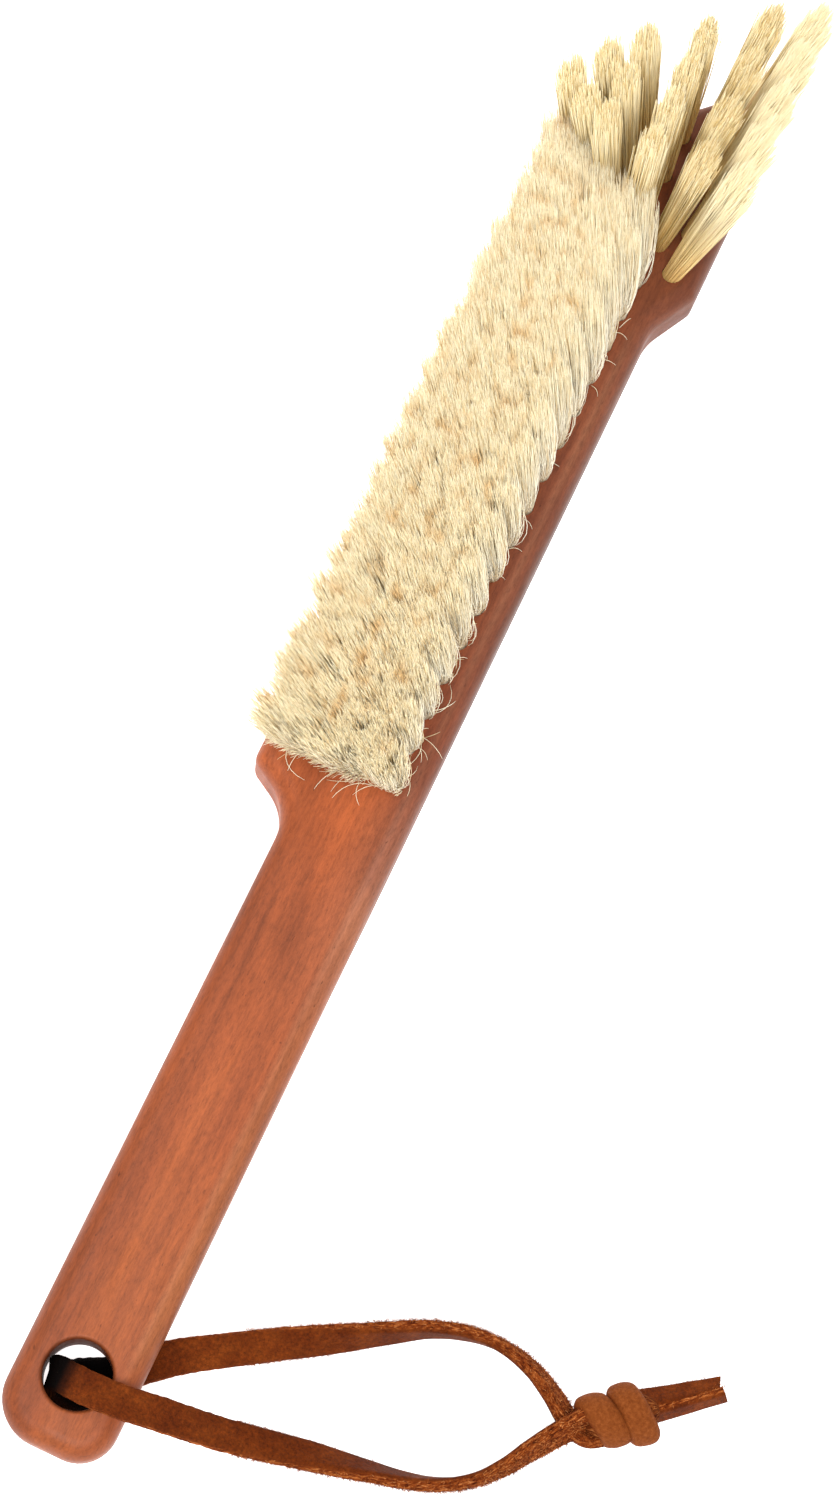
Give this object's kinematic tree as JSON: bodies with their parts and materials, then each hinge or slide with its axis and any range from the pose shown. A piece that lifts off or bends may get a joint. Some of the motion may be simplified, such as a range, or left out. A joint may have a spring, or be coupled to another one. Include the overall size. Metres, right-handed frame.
{
  "type": "clothes brush",
  "caption": "Long-handled wooden clothes brush with a soft bristle pad, a fan of longer bristles on the slanted far end, and a leather thong through the handle.",
  "frame": {"origin": "under the middle of the brush without its thong, on the surface that the head's back rests on", "axes": "+Y from the hanging hole to the far end, +Z out of the bristle face, +X to the side where the far end widens"},
  "size_m": [0.1479, 0.34, 0.054],
  "materials": {
    "pearwood": "oiled fine-grained pearwood, satin",
    "soft_bristle": "fine cream natural bristle",
    "stiff_bristle": "stiffer straw-coloured natural bristle",
    "leather": "brown cowhide, smooth grain side and rough cut edges"
  },
  "bodies": {
    "root": {"wood_body": "pearwood", "pad_row_01": "soft_bristle", "pad_row_02": "soft_bristle", "pad_row_03": "soft_bristle", "pad_row_04": "soft_bristle", "pad_row_05": "soft_bristle", "pad_row_06": "soft_bristle", "pad_row_07": "soft_bristle", "pad_row_08": "soft_bristle", "pad_row_09": "soft_bristle", "pad_row_10": "soft_bristle", "pad_row_11": "soft_bristle", "pad_row_12": "soft_bristle", "pad_row_13": "soft_bristle", "pad_row_14": "soft_bristle", "pad_row_15": "soft_bristle", "pad_row_16": "soft_bristle", "pad_row_17": "soft_bristle", "pad_row_18": "soft_bristle", "pad_row_19": "soft_bristle", "pad_row_20": "soft_bristle", "pad_row_21": "soft_bristle", "pad_row_22": "soft_bristle", "pad_row_23": "soft_bristle", "pad_row_24": "soft_bristle", "pad_row_25": "soft_bristle", "pad_row_26": "soft_bristle", "pad_row_27": "soft_bristle", "pad_row_28": "soft_bristle", "pad_row_29": "soft_bristle", "pad_row_30": "soft_bristle", "pad_row_31": "soft_bristle", "pad_row_32": "soft_bristle", "pad_row_33": "soft_bristle", "fan_tuft_1_1": "stiff_bristle", "fan_tuft_2_1": "stiff_bristle", "fan_tuft_2_2": "stiff_bristle", "fan_tuft_3_1": "stiff_bristle", "fan_tuft_3_2": "stiff_bristle", "fan_tuft_3_3": "stiff_bristle", "fan_tuft_4_1": "stiff_bristle", "fan_tuft_4_2": "stiff_bristle", "fan_tuft_4_3": "stiff_bristle", "fan_tuft_4_4": "stiff_bristle", "fan_tuft_5_1": "stiff_bristle", "fan_tuft_5_2": "stiff_bristle", "fan_tuft_5_3": "stiff_bristle", "fan_tuft_5_4": "stiff_bristle", "fan_tuft_6_1": "stiff_bristle", "fan_tuft_6_2": "stiff_bristle", "fan_tuft_6_3": "stiff_bristle", "fan_tuft_6_4": "stiff_bristle", "fan_tuft_6_5": "stiff_bristle", "thong_front": "leather", "thong_back": "leather", "thong_knot": "leather", "thong_tail_upper": "leather", "thong_tail_lower": "leather"}
  },
  "joints": []
}
